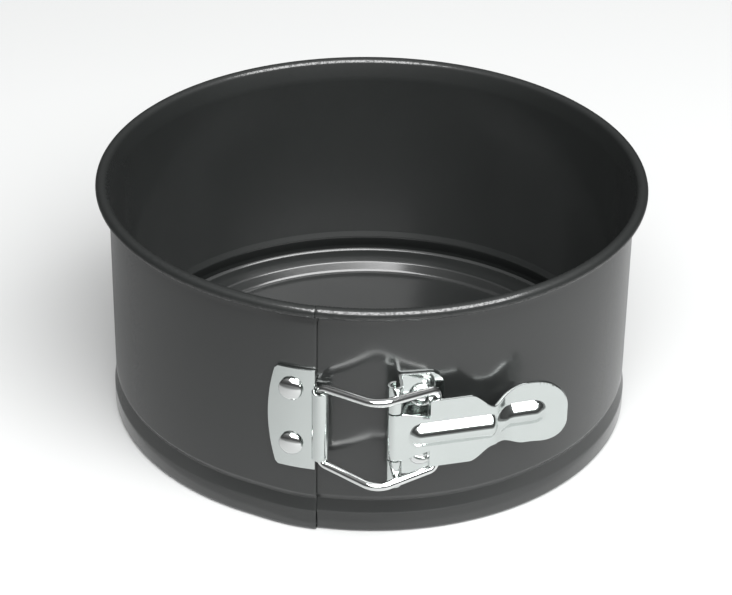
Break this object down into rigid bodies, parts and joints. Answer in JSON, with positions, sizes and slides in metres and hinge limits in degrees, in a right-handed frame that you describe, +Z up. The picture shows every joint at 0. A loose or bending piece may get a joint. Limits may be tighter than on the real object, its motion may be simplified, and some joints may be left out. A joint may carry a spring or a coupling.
{
  "type": "loose-bottom cake pan",
  "caption": "Round deep cake pan with a rolled rim: a springy ring closed by a wire-bail toggle latch around a loose stepped base that lifts out.",
  "frame": {"origin": "centre of the base plate's flat underside, 2 mm above the plane that the ring's foot stands on", "axes": "+Z up along the pan's axis, -Y towards the latch side, +X to the right as seen from the latch side"},
  "size_m": [0.1586, 0.1673, 0.0725],
  "materials": {
    "coated_steel": "charcoal non-stick coating, semi-gloss",
    "plated_steel": "satin bright plating",
    "bright_wire": "bright plated round wire",
    "rivet_steel": "bright domed rivet heads"
  },
  "bodies": {
    "ring_right": {"band_right": "coated_steel", "pivot_bracket": "plated_steel", "bracket_rivet_upper": "rivet_steel", "bracket_rivet_lower": "rivet_steel", "hinge_pin": "bright_wire"},
    "ring_left": {"band_left": "coated_steel", "catch_plate": "plated_steel", "catch_rivet_upper": "rivet_steel", "catch_rivet_lower": "rivet_steel"},
    "lever": {"lever": "plated_steel"},
    "bail": {"wire_bail": "bright_wire"},
    "base": {"base_plate": "coated_steel"}
  },
  "joints": [
    {"name": "lever_swing", "type": "hinge", "parent": "ring_right", "child": "lever", "pos_m": [0.00688, -0.08111, 0.0337], "axis": [0, 0, -1], "range_deg": [0, 115]},
    {"name": "ring_spring", "type": "hinge", "parent": "ring_right", "child": "ring_left", "pos_m": [0.01466, 0.07798, 0.0345], "axis": [0, 0, -1], "range_deg": [0, 2.8]},
    {"name": "bail_swing", "type": "hinge", "parent": "ring_left", "child": "bail", "pos_m": [-0.01305, -0.07797, 0.0345], "axis": [0, 0, -1], "range_deg": [0, 26]},
    {"name": "base_lift", "type": "slide", "parent": "ring_right", "child": "base", "axis": [0, 0, 1], "range_m": [0, 0.1]}
  ],
  "couplings": [
    {"joint": "ring_spring", "follows": "lever_swing", "ratio": 0.02365},
    {"joint": "bail_swing", "follows": "lever_swing", "ratio": 0.2174}
  ]
}
